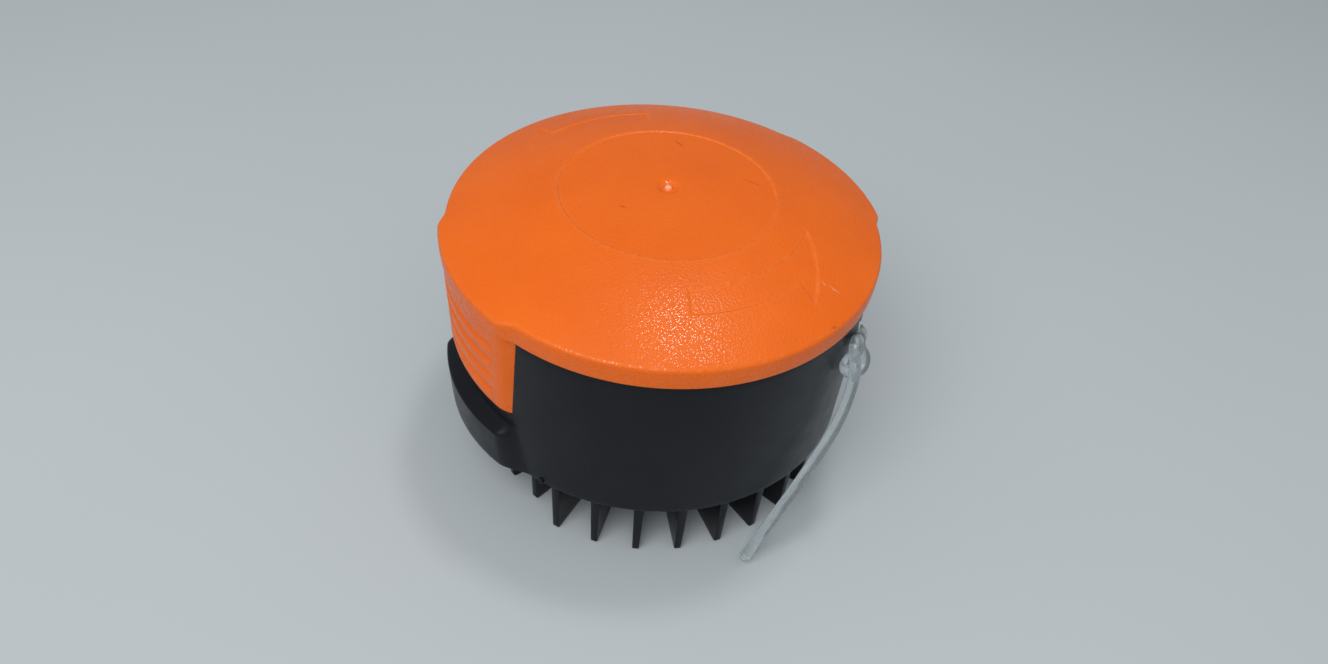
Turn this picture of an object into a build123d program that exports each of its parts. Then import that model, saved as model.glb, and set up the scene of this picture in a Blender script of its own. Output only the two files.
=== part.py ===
"""Automatic-feed line head of a grass trimmer, standing on its fan fins with the cap up.

Millimetres. The origin lies on the head's axis, in the plane of the fin bottoms. +Z points up
through the cap, and the cap's two grip tabs lie on the X axis.
"""
import os
from math import acos, asin, atan2, cos, degrees, radians, sin, sqrt, tan

from build123d import *

# Nylon line
line_dia = 2.4
line_gap = 0.3              # between the run to the eyelet and the wound turns

# Housing: a drafted cup with a ring of fan fins under its floor
fin_height = 17.0
fin_count = 28
fin_thickness = 2.2
fin_length = 16.5
fin_inset = 2.1             # from the wall's foot in to the fin tips
fin_tip_round = 1.8
fin_draft = 1.2             # degrees
fin_phase = 7.9             # degrees from +X to the first fin
ledge_fin_setback = 3.4     # fins under a ledge end this much further in
wall_height = 37.4
wall_lean = 0.5              # draft of the wall over its height
wall_thickness = 2.2
floor_thickness = 2.5

# Guard ledges under the grip tabs
ledge_stand = 3.4           # out from the wall's foot
ledge_height = 10.0
ledge_rise = 2.0            # slope from the ledge's edge up to the wall
ledge_half_angle = 23.8     # degrees from the tab's axis to where the ledge's end meets the wall
ledge_end_angle = 42.0      # degrees between the ledge's end and the tab's axis
ledge_round = 4.0
ledge_draft = 4.0           # degrees

# Hub and drive
hub_radius = 11.0
hub_foot = 3.0              # height of the hub's mouth above the fin bottoms
post_radius = 8.1
post_top_gap = 2.5          # under the top of the reel
bush_radius = 6.5
bush_length = 19.0
drive_bore_dia = 8.0
bush_chamfer = 0.6

# Cap
cap_radius = 45.0
cap_wall = 2.4
cap_overhang = 0.9          # of the rim over the wall
rim_side = 4.8              # from the seat up to where the dome meets the rim's side
dome_rise = 8.9             # from there up to the crown of the dome's sphere
rim_round = 2.5
rim_foot_round = 0.6
disc_crown = 1.1
disc_step = 0.25
gate_radius = 1.3
gate_depth = 0.7
nub_radius = 0.5
skirt_depth = 3.0
skirt_wall = 1.6
skirt_gap = 0.4
seat_gap = 0.1

# Two sunk arrows on the cap that show the way to turn, angles in degrees from +X
arrow_edge_gap = 6.1        # from the barb's tip out to the rim
arrow_barb = 4.6
arrow_band = 5.4
arrow_bow = 0.6             # from the band's outer edge out to the middle of the curved front edge
arrow_disc_gap = 6.7        # from the band in to the disc
arrow_tail_angle = 249.4
arrow_neck_angle = 289.5
arrow_barb_angle = 287.9
arrow_front_angle = 298.5
arrow_tip_angle = 314.6
arrow_depth = 0.25

# Grip tabs of the cap
tab_length = 20.9
tab_stand = 1.8             # out from the top of the wall
tab_lean = 0.7              # draft of the tab's face over its length
tab_thickness = 3.2
tab_half_angle = 23.8       # degrees from the tab's axis to where its side meets the wall
tab_side_angle = 28.0       # degrees between the tab's side and its axis
tab_draft = 4.0             # degrees
tab_round = 1.6
tab_gap = 0.4
bulge_cover = 0.8           # of the swollen rim over a tab's face
bulge_half_angle = 24.8     # degrees from the tab's axis to where the swelling starts
bulge_side_angle = 42.0
bulge_round = 3.0
groove_count = 4
groove_pitch = 4.3
groove_top = 4.2            # from the seat down to the first groove
groove_radius = 1.1
groove_depth = 0.7
groove_half_angle = 16.5

# Reel
reel_gap = 0.3
reel_flange_gap = 4.2       # between the flanges and the wall
reel_flange = 1.8
reel_lift = 5.5             # from the housing floor up to the lower flange
reel_top_gap = 3.9          # from the upper flange up to the seat
core_radius = 17.0
core_wall = 2.0
core_web = 4.0
running_gap = 0.3           # between the reel's bore and the hub's post
winding_gap = 8.2           # from the wound line out to the flanges' edge
slot_length = 6.0

# Feed lugs under the reel and the lever that stops them
lug_count = 6
lug_width = 3.0
lug_depth = 2.8
lug_length = 3.6
lug_edge_gap = 3.2          # from the middle of the outer ring of lugs out to the flange's edge
lug_ring_step = 8.0         # from the inner ring out to the outer one
lever_length = 18.0
lever_width = 5.0
lever_thickness = 2.0
lever_gap = 0.3
lever_tooth = 3.0
lever_eye_radius = 4.2
lever_post_radius = 2.2
lever_post_gap = 0.05

# Spring between the cap and the reel
spring_radius = 11.2
spring_wire = 1.2
spring_turns = 4
spring_pitch = 2.4
spring_gap = 0.1
spigot_wall = 1.8
spigot_gap = 0.5
spigot_drop = 5.5
boss_margin = 1.2

# Line exit
exit_height = 26.6          # above the foot of the wall
eyelet_bore_dia = 7.2
eyelet_wall = 1.0
eyelet_lip = 0.9
eyelet_sink = 0.8           # depth of the lip's seat in the wall
eyelet_lip_width = 1.0
eyelet_round = 0.7

# Knot and tail of the line
knot_angle = 303.5          # degrees from +X
knot_rest = 0.4             # between the knot and the wall
knot_drop = 1.2             # from the exit down to the knot's middle
knot_reach = 6.0
knot_half_thickness = 2.7
tail_route = [              # degrees from +X, distance from the wall's foot, share of the exit's height
    (302.0, 4.3, 0.93),
    (298.8, 4.6, 0.79),
    (293.0, 4.0, 0.62),
    (284.9, 3.9, 0.44),
    (276.4, 3.9, 0.24),
    (268.9, 4.4, 0.023),
]

# Heights and radii that follow
floor_z = fin_height + floor_thickness
seat_z = fin_height + wall_height
wall_top_z = seat_z - seat_gap
tab_foot_z = seat_z - tab_length
reel_foot_z = floor_z + reel_lift
reel_top_z = seat_z - reel_top_gap
exit_z = fin_height + exit_height
crown_z = seat_z + rim_side + dome_rise
dome_radius = (cap_radius**2 + dome_rise**2) / (2 * dome_rise)
wall_top_radius = cap_radius - cap_overhang
wall_foot_radius = wall_top_radius - wall_lean
ledge_radius = wall_foot_radius + ledge_stand
fin_tip_radius = wall_foot_radius - fin_inset
fin_inner_radius = fin_tip_radius - fin_length
tab_top_radius = wall_top_radius + tab_stand
tab_foot_radius = tab_top_radius - tab_lean
bulge_radius = tab_top_radius + bulge_cover
arrow_barb_radius = cap_radius - arrow_edge_gap
arrow_outer_radius = arrow_barb_radius - arrow_barb
arrow_inner_radius = arrow_outer_radius - arrow_band
disc_radius = arrow_inner_radius - arrow_disc_gap
reel_flange_radius = wall_foot_radius - wall_thickness - reel_flange_gap
winding_radius = reel_flange_radius - winding_gap
lug_outer_radius = reel_flange_radius - lug_edge_gap
lug_inner_radius = lug_outer_radius - lug_ring_step
tooth_angle = 90.0          # degrees from +X to the lever's tooth


def wall_radius(z):
    """Outer radius of the drafted wall at height z."""
    share = (z - fin_height) / wall_height
    return wall_foot_radius + (wall_top_radius - wall_foot_radius) * share


def dome_z(radius, drop=0.0):
    """Height of the dome's sphere, or of one that lies deeper by drop, at a radius."""
    sphere = dome_radius - drop
    return crown_z - dome_radius + sqrt(sphere**2 - radius**2)


def spun(*profile):
    """Solid of revolution about Z of a polygon given as radius and height."""
    return revolve(Plane.XZ * make_face(Polyline(*profile, close=True)), Axis.Z)


def ring(inner, outer, bottom, top):
    return spun((inner, bottom), (outer, bottom), (outer, top), (inner, top))


def both_sides(shape):
    """The shape on +X and its copy turned half round."""
    return shape + Rot(0, 0, 180) * shape


def side_wedge(half_angle, radius, side_angle, grow=0.0):
    """Trapezium about +X that widens inwards, its sides crossing the given radius at the half angle."""
    half_width = radius * sin(radians(half_angle))
    meet = radius * cos(radians(half_angle))
    inner, outer = 0.8 * radius, 1.1 * radius
    slope = tan(radians(side_angle))
    wide = half_width + grow + (meet - inner) * slope
    narrow = half_width + grow + (meet - outer) * slope
    return make_face(Polyline((inner, -wide), (outer, -narrow), (outer, narrow), (inner, wide), close=True))


def tab_prism(grow=0.0):
    """Drafted prism that bounds a tab, or the wall's window for it when grown by a clearance."""
    outline = Pos(0, 0, seat_z) * side_wedge(tab_half_angle, wall_top_radius, tab_side_angle, grow)
    return extrude(outline, amount=tab_length + grow, dir=(0, 0, -1), taper=tab_draft)


def rounded_plan(disc, lobe_radius, wedge, corner):
    """A disc with two lobes on the X axis, every corner rounded."""
    plan = Circle(disc) + both_sides(Circle(lobe_radius) & wedge)
    return fillet(plan.vertices(), corner)


def fins():
    """Ring of drafted radial plates, set back under the ledges."""
    plates = []
    for index in range(fin_count):
        angle = fin_phase + index * 360 / fin_count
        off_axis = abs((angle + 90) % 180 - 90)
        tip = fin_tip_radius - (ledge_fin_setback if off_axis < ledge_half_angle else 0)
        length = tip - fin_inner_radius
        root = Pos((tip + fin_inner_radius) / 2, 0, fin_height) * Rectangle(length, fin_thickness)
        plate = extrude(root, amount=fin_height, dir=(0, 0, -1), taper=fin_draft)
        corner = plate.edges().filter_by(Axis.Y).group_by(Axis.Z)[0].sort_by(Axis.X)[-1]
        plates.append(Rot(0, 0, angle) * fillet(corner, fin_tip_round))
    return plates


def ledges():
    """Two guard ledges with rounded ends that run into the wall, their tops sloped up to it."""
    wedge = side_wedge(ledge_half_angle, wall_foot_radius, ledge_end_angle)
    plan = rounded_plan(wall_foot_radius - wall_thickness / 4, ledge_radius, wedge, ledge_round)
    edge = Pos(0, 0, fin_height + ledge_height) * plan
    skirt = extrude(edge, amount=ledge_height, dir=(0, 0, -1), taper=ledge_draft)
    overhang = ledge_radius - wall_foot_radius
    slope = extrude(edge, amount=ledge_rise, taper=degrees(atan2(overhang, ledge_rise)))
    inside = Cylinder(wall_foot_radius - wall_thickness / 2, 4 * ledge_height)
    return skirt + slope - Pos(0, 0, fin_height) * inside


def exit_axis():
    """Plane at the head's axis whose normal points out through the eyelet."""
    angle = -acos(lead_x() / (wall_radius(exit_z) - wall_thickness / 2))
    return Plane(origin=(0, 0, exit_z), x_dir=(0, 0, 1), z_dir=(cos(angle), sin(angle), 0))


def lead_x():
    """Distance from the axis to the straight run that leaves the winding along -Y."""
    return winding_radius + line_gap + line_dia / 2


def lever_pivot():
    """Foot of the lever's post, placed so that the tooth meets both lug rings on the Y axis."""
    middle = (lug_inner_radius + lug_outer_radius) / 2
    return Vector(-lever_length * cos(radians(lever_swing())), middle, floor_z)


def lever_swing():
    """Angle either way of the lever's middle position that takes its tooth from lug ring to lug ring."""
    return degrees(asin((lug_outer_radius - lug_inner_radius) / 2 / lever_length))


def make_housing():
    """Black cup: wall, floor, hub with its post, lever post, fins, ledges, tab windows and line exit."""
    post_top = reel_top_z - post_top_gap
    bush_top = hub_foot + bush_length
    shoulder = reel_foot_z - reel_gap
    cup = spun(
        (bush_radius, hub_foot), (hub_radius, hub_foot), (hub_radius, fin_height),
        (wall_foot_radius, fin_height), (wall_radius(wall_top_z), wall_top_z),
        (wall_radius(wall_top_z) - wall_thickness, wall_top_z), (wall_foot_radius - wall_thickness, floor_z),
        (hub_radius, floor_z), (hub_radius, shoulder), (post_radius, shoulder), (post_radius, post_top),
        (0, post_top), (0, bush_top), (bush_radius, bush_top),
    )
    lever_post = Pos(lever_pivot()) * Cylinder(lever_post_radius, lever_gap + lever_thickness,
                                               align=(Align.CENTER, Align.CENTER, Align.MIN))
    cup += [*fins(), ledges(), lever_post]
    cup -= both_sides(tab_prism(tab_gap))
    sleeve_radius = eyelet_bore_dia / 2 + eyelet_wall
    lip_seat = wall_radius(exit_z) - eyelet_sink
    eyelet_hole = (ring(0, sleeve_radius, cap_radius / 2, cap_radius)
                   + ring(0, sleeve_radius + eyelet_lip_width, lip_seat, cap_radius))
    return cup - exit_axis() * eyelet_hole


def make_drive_bush():
    """Metal insert moulded into the hub, bored for the motor shaft from below."""
    bush = ring(drive_bore_dia / 2, bush_radius, hub_foot, hub_foot + bush_length)
    mouth = bush.edges().group_by(Axis.Z)[0].sort_by(SortBy.RADIUS)[0]
    return chamfer(mouth, bush_chamfer)


def make_eyelet():
    """Metal ring in the wall that the line runs through, its lip let into the wall's outside."""
    bore = eyelet_bore_dia / 2
    outer = bore + eyelet_wall
    lip_seat = wall_radius(exit_z) - eyelet_sink
    sleeve = ring(bore, outer, wall_radius(exit_z) - wall_thickness, lip_seat)
    lip = ring(bore, outer + eyelet_lip_width, lip_seat, lip_seat + eyelet_lip)
    body = sleeve + lip
    circles = body.edges().filter_by(GeomType.CIRCLE)
    mouths = circles.filter_by(lambda edge: edge.radius < bore + eyelet_wall / 2)
    return exit_axis() * fillet(mouths, eyelet_round)


def tab_radius(z):
    """Radius of a tab's drafted outer face at height z."""
    return tab_foot_radius + (tab_top_radius - tab_foot_radius) * (z - tab_foot_z) / tab_length


def grip_tab():
    """Tab on +X with rounded edges and a ladder of grip grooves."""
    inner = tab_top_radius - tab_thickness
    band = spun((inner, tab_foot_z), (tab_foot_radius, tab_foot_z), (tab_top_radius, seat_z), (inner, seat_z))
    tab = band & tab_prism()
    outer_face = tab.faces().filter_by(GeomType.CONE).sort_by(Axis.X)[-1]
    outer_edges = [edge for edge in outer_face.edges() if edge.center().Z < seat_z - tab_round]
    tab = fillet(outer_edges, tab_round)
    for index in range(groove_count):
        z = seat_z - groove_top - index * groove_pitch
        section = Pos(tab_radius(z) + groove_radius - groove_depth, z) * Circle(groove_radius)
        groove = revolve(Plane.XZ * section, Axis.Z, revolution_arc=2 * groove_half_angle)
        tab -= Rot(0, 0, -groove_half_angle) * groove
    return tab


def cap_dome():
    """Domed top cut to the rim's plan, its upper and lower edges rounded."""
    wedge = side_wedge(bulge_half_angle, cap_radius, bulge_side_angle)
    plan = rounded_plan(cap_radius, bulge_radius, wedge, bulge_round)
    reach = bulge_radius + cap_wall
    half_way = (disc_radius + reach) / 2
    ring_z = dome_z(disc_radius)
    step_z = ring_z - disc_step
    disc_z = step_z + disc_crown
    section = make_face([
        Polyline((0, disc_z), (0, seat_z), (reach, seat_z), (reach, dome_z(reach))),
        ThreePointArc((reach, dome_z(reach)), (half_way, dome_z(half_way)), (disc_radius, ring_z)),
        Line((disc_radius, ring_z), (disc_radius, step_z)),
        ThreePointArc((disc_radius, step_z), (disc_radius / 2, step_z + disc_crown * 3 / 4), (0, disc_z)),
    ])
    block = extrude(Pos(0, 0, seat_z) * plan, amount=rim_side + dome_rise)
    dome = block & revolve(Plane.XZ * section, Axis.Z)
    shoulder_z = dome_z(cap_radius - 2 * rim_round)
    rim = [edge for edge in dome.edges()
           if edge.bounding_box().min.Z > seat_z + rim_foot_round and edge.bounding_box().max.Z < shoulder_z]
    dome = fillet(rim, rim_round)
    foot = [edge for edge in dome.edges() if edge.bounding_box().max.Z < seat_z + 1e-3]
    dome = fillet(foot, rim_foot_round)
    dimple = Pos(0, 0, disc_z) * Cone(gate_radius / 2, gate_radius, gate_depth,
                                      align=(Align.CENTER, Align.CENTER, Align.MAX))
    nub = Pos(0, 0, disc_z - gate_depth) * Cylinder(nub_radius, gate_depth)
    return dome - dimple + nub


def polar(radius, angle):
    return (radius * cos(radians(angle)), radius * sin(radians(angle)))


def arrow_recess():
    """Curved arrow cut a little way into the dome."""
    tail_inside = polar(arrow_inner_radius, arrow_tail_angle)
    tail_outside = polar(arrow_outer_radius, arrow_tail_angle)
    neck = polar(arrow_outer_radius, arrow_neck_angle)
    barb = polar(arrow_barb_radius, arrow_barb_angle)
    tip = polar(arrow_inner_radius, arrow_tip_angle)
    inner_middle = polar(arrow_inner_radius, (arrow_tail_angle + arrow_tip_angle) / 2)
    outer_middle = polar(arrow_outer_radius, (arrow_tail_angle + arrow_neck_angle) / 2)
    outline = make_face([
        ThreePointArc(tail_inside, inner_middle, tip),
        ThreePointArc(tip, polar(arrow_outer_radius + arrow_bow, arrow_front_angle), barb),
        Line(barb, neck),
        ThreePointArc(neck, outer_middle, tail_outside),
        Line(tail_outside, tail_inside),
    ])
    prism = extrude(Pos(0, 0, seat_z) * outline, amount=rim_side + dome_rise)
    return prism - Pos(0, 0, crown_z - dome_radius) * Sphere(dome_radius - arrow_depth)


def make_cap():
    """Orange cover: domed top, rim that swells over two grip tabs, locating skirt and spring spigot."""
    skirt_radius = wall_top_radius - wall_thickness - skirt_gap
    hollow_radius = skirt_radius - skirt_wall
    ceiling = dome_z(disc_radius) - disc_step - cap_wall
    half_way = (disc_radius + hollow_radius) / 2
    corner = (hollow_radius, dome_z(hollow_radius, cap_wall))
    hollow_section = make_face([
        Polyline((disc_radius, ceiling), (0, ceiling), (0, seat_z), (hollow_radius, seat_z), corner),
        ThreePointArc(corner, (half_way, dome_z(half_way, cap_wall)), (disc_radius, ceiling)),
    ])
    skirt = ring(hollow_radius, skirt_radius, seat_z - skirt_depth, seat_z)
    boss_radius = spring_radius + spring_wire / 2 + boss_margin
    spigot_radius = spring_radius - spring_wire / 2 - spigot_gap
    seat = spring_top_z()
    spigot_bore = spigot_radius - spigot_wall
    spigot_end = seat - spigot_drop
    spigot = spun((spigot_bore, ceiling), (boss_radius, ceiling), (boss_radius, seat), (spigot_radius, seat),
                  (spigot_radius, spigot_end), (spigot_bore, spigot_end))
    cover = cap_dome() - revolve(Plane.XZ * hollow_section, Axis.Z) - both_sides(arrow_recess())
    return cover + skirt + spigot + both_sides(grip_tab())


def spring_top_z():
    return reel_top_z + spring_gap + spring_turns * spring_pitch + spring_wire


def make_cap_spring():
    """Compression spring on the cap's spigot that presses the reel down."""
    path = Pos(0, 0, reel_top_z + spring_gap + spring_wire / 2) * Helix(
        pitch=spring_pitch, height=spring_turns * spring_pitch, radius=spring_radius)
    section = Plane(origin=path @ 0, z_dir=path % 0) * Circle(spring_wire / 2)
    return sweep(section, path=path, is_frenet=True)


def make_reel():
    """Reel for the line: hollow core, two flanges, line slots and two staggered rings of feed lugs."""
    bore = post_radius + running_gap
    flange = reel_flange_radius
    hollow_top = reel_top_z - core_web
    reel = spun(
        (bore, reel_foot_z), (bore + core_wall, reel_foot_z), (bore + core_wall, hollow_top),
        (core_radius - core_wall, hollow_top), (core_radius - core_wall, reel_foot_z), (flange, reel_foot_z),
        (flange, reel_foot_z + reel_flange), (core_radius, reel_foot_z + reel_flange),
        (core_radius, reel_top_z - reel_flange), (flange, reel_top_z - reel_flange), (flange, reel_top_z),
        (bore, reel_top_z),
    )
    half_step = 180 / lug_count / 2
    for index in range(lug_count):
        turn = tooth_angle + index * 360 / lug_count
        for radius, offset in ((lug_inner_radius, half_step), (lug_outer_radius, -half_step)):
            lug = Pos(radius, 0, reel_foot_z) * Box(lug_length, lug_width, lug_depth,
                                                    align=(Align.CENTER, Align.CENTER, Align.MAX))
            reel += Rot(0, 0, turn + offset) * lug
    slot = Pos(flange, 0, reel_top_z) * Box(2 * slot_length, line_dia + line_gap, 3 * reel_flange)
    return reel - both_sides(Rot(0, 0, tooth_angle) * slot)


def make_line_winding():
    """Wound line as one solid, its outer layer showing the turns side by side."""
    low = reel_foot_z + reel_flange
    width = reel_top_z - reel_flange - low
    turns = int(width / line_dia)
    pitch = width / turns
    outer_layer = winding_radius - line_dia / 2
    body = Pos((core_radius + outer_layer) / 2, low + width / 2) * Rectangle(outer_layer - core_radius, width)
    section = body + [Pos(outer_layer, low + (index + 0.5) * pitch) * Ellipse(line_dia / 2, pitch / 2 * 0.98)
                      for index in range(turns)]
    return revolve(Plane.XZ * section, Axis.Z)


def make_feed_lever():
    """Lever on the housing floor, its tooth standing between the two rings of lugs' inner places."""
    end = lever_width / 2
    plan = (Circle(lever_eye_radius) + Pos(lever_length / 2, 0) * Rectangle(lever_length, lever_width)
            + Pos(lever_length, 0) * Circle(end) - Circle(lever_post_radius + lever_post_gap))
    arm = extrude(plan, amount=lever_thickness)
    tooth_top = reel_lift - 2 * lever_gap
    tooth = Pos(lever_length, 0) * Box(lever_tooth, lever_tooth, tooth_top,
                                       align=(Align.CENTER, Align.CENTER, Align.MIN))
    return Pos(lever_pivot()) * Pos(0, 0, lever_gap) * Rot(0, 0, -lever_swing()) * (arm + tooth)


def make_line_lead():
    """Straight run of line from the winding through the eyelet to the knot."""
    reach = sqrt(knot_radius()**2 - lead_x()**2)
    run = Plane(origin=(lead_x(), 0, exit_z), z_dir=(0, -1, 0)) * Cylinder(
        line_dia / 2, reach, align=(Align.CENTER, Align.CENTER, Align.MIN))
    return run - make_line_knot()


def knot_radius():
    """Distance from the axis to the knot's middle."""
    return wall_radius(exit_z) + knot_rest + knot_half_thickness


def make_line_knot():
    """Outer shape of the overhand knot: a flat round lump lying against the wall."""
    lump = scale(Sphere(knot_reach), by=(1, 1, knot_half_thickness / knot_reach))
    turn = radians(knot_angle)
    outward = Vector(cos(turn), sin(turn), 0)
    return Plane(outward * knot_radius() + (0, 0, exit_z - knot_drop), x_dir=(0, 0, 1), z_dir=outward) * lump


def bend_radii(points):
    """Arc radius at each inner point of a route, as large as its two runs allow."""
    radii = []
    for before, corner, after in zip(points, points[1:], points[2:]):
        run_in, run_out = Vector(*corner) - Vector(*before), Vector(*after) - Vector(*corner)
        half_turn = radians(run_in.get_angle(run_out)) / 2
        radii.append(0.45 * min(run_in.length, run_out.length) / tan(half_turn))
    return radii


def make_line_tail():
    """Loose end of the line, from the knot down to its bare cut end."""
    points = [(*polar(wall_foot_radius + stand, angle), share * exit_z) for angle, stand, share in tail_route]
    radii = bend_radii(points)
    print("tail bend radii", [round(radius, 1) for radius in radii])
    path = FilletPolyline(*points, radius=radii)
    print("tail length", round(path.length, 1))
    tube = sweep(Plane(origin=path @ 0, z_dir=path % 0) * Circle(line_dia / 2), path=path)
    return (tube - make_line_knot()).solids().sort_by(Axis.Z)[0]


PARTS = {
    "housing": make_housing,
    "drive_bush": make_drive_bush,
    "exit_eyelet": make_eyelet,
    "cap": make_cap,
    "cap_spring": make_cap_spring,
    "reel": make_reel,
    "line_winding": make_line_winding,
    "feed_lever": make_feed_lever,
    "line_lead": make_line_lead,
    "line_knot": make_line_knot,
    "line_tail": make_line_tail,
}


def main():
    os.makedirs("parts", exist_ok=True)
    for name, make in PARTS.items():
        export_step(make(), f"parts/{name}.step")


main()
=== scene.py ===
from math import cos, pi, radians, sin, tan

import bmesh
import bpy
import numpy as np
from mathutils import Matrix, Vector


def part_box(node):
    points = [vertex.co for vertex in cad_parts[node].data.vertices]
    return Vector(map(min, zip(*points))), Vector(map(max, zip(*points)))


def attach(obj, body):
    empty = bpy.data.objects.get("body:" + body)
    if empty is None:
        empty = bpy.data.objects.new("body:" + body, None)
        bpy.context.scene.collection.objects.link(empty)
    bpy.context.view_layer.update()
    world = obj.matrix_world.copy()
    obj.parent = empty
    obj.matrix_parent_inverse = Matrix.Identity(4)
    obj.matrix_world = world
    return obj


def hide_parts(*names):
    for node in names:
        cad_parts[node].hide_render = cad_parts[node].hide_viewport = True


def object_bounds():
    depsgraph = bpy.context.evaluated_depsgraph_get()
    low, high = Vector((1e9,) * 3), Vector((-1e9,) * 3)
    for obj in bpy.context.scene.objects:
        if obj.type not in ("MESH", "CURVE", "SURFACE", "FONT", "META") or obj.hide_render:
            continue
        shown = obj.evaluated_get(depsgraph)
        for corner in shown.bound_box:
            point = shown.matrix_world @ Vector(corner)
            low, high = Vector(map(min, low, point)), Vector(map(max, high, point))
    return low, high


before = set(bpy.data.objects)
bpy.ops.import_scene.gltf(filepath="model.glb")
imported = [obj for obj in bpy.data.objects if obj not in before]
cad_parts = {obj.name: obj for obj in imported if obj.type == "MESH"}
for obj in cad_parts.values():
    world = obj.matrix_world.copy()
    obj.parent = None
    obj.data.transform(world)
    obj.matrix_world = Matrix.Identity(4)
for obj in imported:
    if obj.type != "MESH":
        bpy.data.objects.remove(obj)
cad_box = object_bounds()

# Millimetres and degrees below; points are turned into metres when a mesh is filled.
MM = 0.001
TURN = 2 * pi

# Housing
FOOT_Z = 17.0
FLOOR_Z = 19.5
SEAT_Z = 54.4
WALL_TOP_Z = 54.3
WALL_FOOT_RADIUS = 43.6
WALL_LEAN = 0.5
WALL_HEIGHT = SEAT_Z - FOOT_Z
WALL_THICKNESS = 2.2
WALL_EDGE = 0.35
HUB_RADIUS = 11.0
HUB_FOOT_Z = 3.0
SHOULDER_Z = 24.7
POST_RADIUS = 8.1
POST_TOP_Z = 48.0
BUSH_RADIUS = 6.5
BUSH_TOP_Z = 22.0
LEVER_POST = (-17.55, 30.0)
LEVER_POST_RADIUS = 2.2
LEVER_POST_TOP_Z = 21.8
WINDOW_FOOT_Z = 32.7
WINDOW_TOP_ANGLE = 23.95
WINDOW_FOOT_ANGLE = 21.3
LEDGE_STAND = 3.25
LEDGE_HALF_ANGLE = 23.8
LEDGE_CORNER = 18.6
LEDGE_END_FOOT = 27.6
LEDGE_END_TOP = 24.0
LEDGE_TOP_Z = 27.0
LEDGE_RISE = 2.0
LEDGE_FLATTENING = 0.16
LEDGE_FOOT_SHARE = 0.85
LEDGE_EDGE_EASE = 0.16
FIN_COUNT = 28
FIN_PHASE = 7.9
FIN_ROOT = 2.2
FIN_DRAFT = 1.2
FIN_INNER_RADIUS = 25.0
FIN_TIP_RADIUS = 41.5
FIN_SETBACK = 3.4
FIN_TIP_ROUND = 0.8
FIN_HEEL_ROUND = 0.5
FIN_SINK = 0.3
PIP_RADIUS = 0.65
PIP_ANGLE = 211.0
PIP_Z = 17.6
PIP_STRETCH = 1.15
PIP_PROUD = 0.05
LID_RING_RADIUS = 3.0

# Line exit
EXIT_X = 30.5
EXIT_Z = 43.6
EXIT_ANGLE = -44.65
SLEEVE_RADIUS = 4.6
LIP_RADIUS = 5.6
LIP_SEAT = 43.16
HOLE_START = 40.0
HOLE_END = 46.0
LINE_RADIUS = 1.2
LEAD_END_Y = -31.0

# Cap
CAP_RADIUS = 45.0
BULGE = 1.35
BULGE_FLAT_ANGLE = 19.6
BULGE_END_ANGLE = 24.9
CROWN_Z = 68.1
DOME_RADIUS = 118.2
RIM_ROUND = 1.1
FOOT_ROUND = 0.45
SIDE_DRAFT = 0.2
DISC_RADIUS = 22.2
DISC_STEP = 0.25
DISC_CROWN = 1.1
DISC_EASE = 0.2
# Width of the lighter band at the disc's edge: rubbed wear together with a painted highlight of the edge
DISC_WEAR_AND_HIGHLIGHT = 0.35
GATE_RADIUS = 2.6
GATE_DEPTH = 0.5
NUB_RADIUS = 0.9
NUB_DROP = 0.02
ARROW_DEPTH = 0.2
ARROW_EASE = 0.22
# Width of the lighter band at the arrows' edges: rubbed wear together with a painted highlight of the edges
ARROW_WEAR_AND_HIGHLIGHT = 0.3
ARROW_INNER = 28.9
ARROW_OUTER = 34.3
ARROW_TAIL = 249.4
TAB_FOOT_Z = 33.0
TAB_FACE_TOP = 45.9
TAB_FACE_FOOT = 45.2
TAB_BACK = 42.7
TAB_BACK_EDGE = 0.4
TAB_LEAST_DEPTH = 0.3
TAB_SIDE_RADIUS = 44.1
TAB_TOP_ANGLE = 23.4
TAB_FOOT_ANGLE = 20.75
TAB_SIDE_RUN = 1.27
TAB_ROUND = 1.6
TAB_SIDE_EASE = 0.9
GROOVE_HEIGHTS = (50.2, 45.9, 41.6, 37.3)
GROOVE_RADIUS = 1.1
GROOVE_DEPTH = 0.7
GROOVE_TOP_ANGLE = 17.2
GROOVE_FOOT_ANGLE = 15.6

# Hidden works
SPRING_RADIUS = 11.2
SPRING_WIRE_RADIUS = 0.6
SPRING_FOOT_Z = 51.25
SPRING_TOP_Z = 60.75
SPRING_TURNS = 6
SPRING_END_TURN = 0.9
SPRING_END_RISE = 0.5
WINDING_RADIUS = 29.0
REEL_CORE_RADIUS = 17.0

# Edges that bend by more than this stay sharp in the shading
SHARP_ANGLE = 35


def place_camera():
    """Camera fitted to the photograph: it looks down at the head from the front left."""
    turn, rise, roll, distance = radians(-32), radians(42.85), radians(6.04), 230.61 * MM
    right = Vector((cos(turn), sin(turn), 0))
    back = Vector((sin(turn) * cos(rise), -cos(turn) * cos(rise), sin(rise)))
    up = back.cross(right)
    aim = 2.20 * MM * right + Vector((0, 0, 26.90 * MM))
    across = cos(roll) * right + sin(roll) * up
    upward = cos(roll) * up - sin(roll) * right
    data = bpy.data.cameras.new("photo_camera")
    data.sensor_width = 36.0
    data.lens = 27.31
    data.clip_start = 0.005
    camera = bpy.data.objects.new("photo_camera", data)
    turned = Matrix((across, upward, back)).transposed().to_4x4()
    camera.matrix_world = Matrix.Translation(aim + distance * back) @ turned
    bpy.context.collection.objects.link(camera)
    bpy.context.scene.camera = camera


def add_softbox(name, place, aim, size, watts):
    """Rectangular soft lamp at a place in metres, turned towards its aim."""
    data = bpy.data.lights.new(name, "AREA")
    data.shape = "RECTANGLE"
    data.size, data.size_y = size
    data.energy = watts
    lamp = bpy.data.objects.new(name, data)
    lamp.location = place
    lamp.rotation_euler = (Vector(aim) - Vector(place)).to_track_quat("-Z", "Y").to_euler()
    bpy.context.collection.objects.link(lamp)


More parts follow.
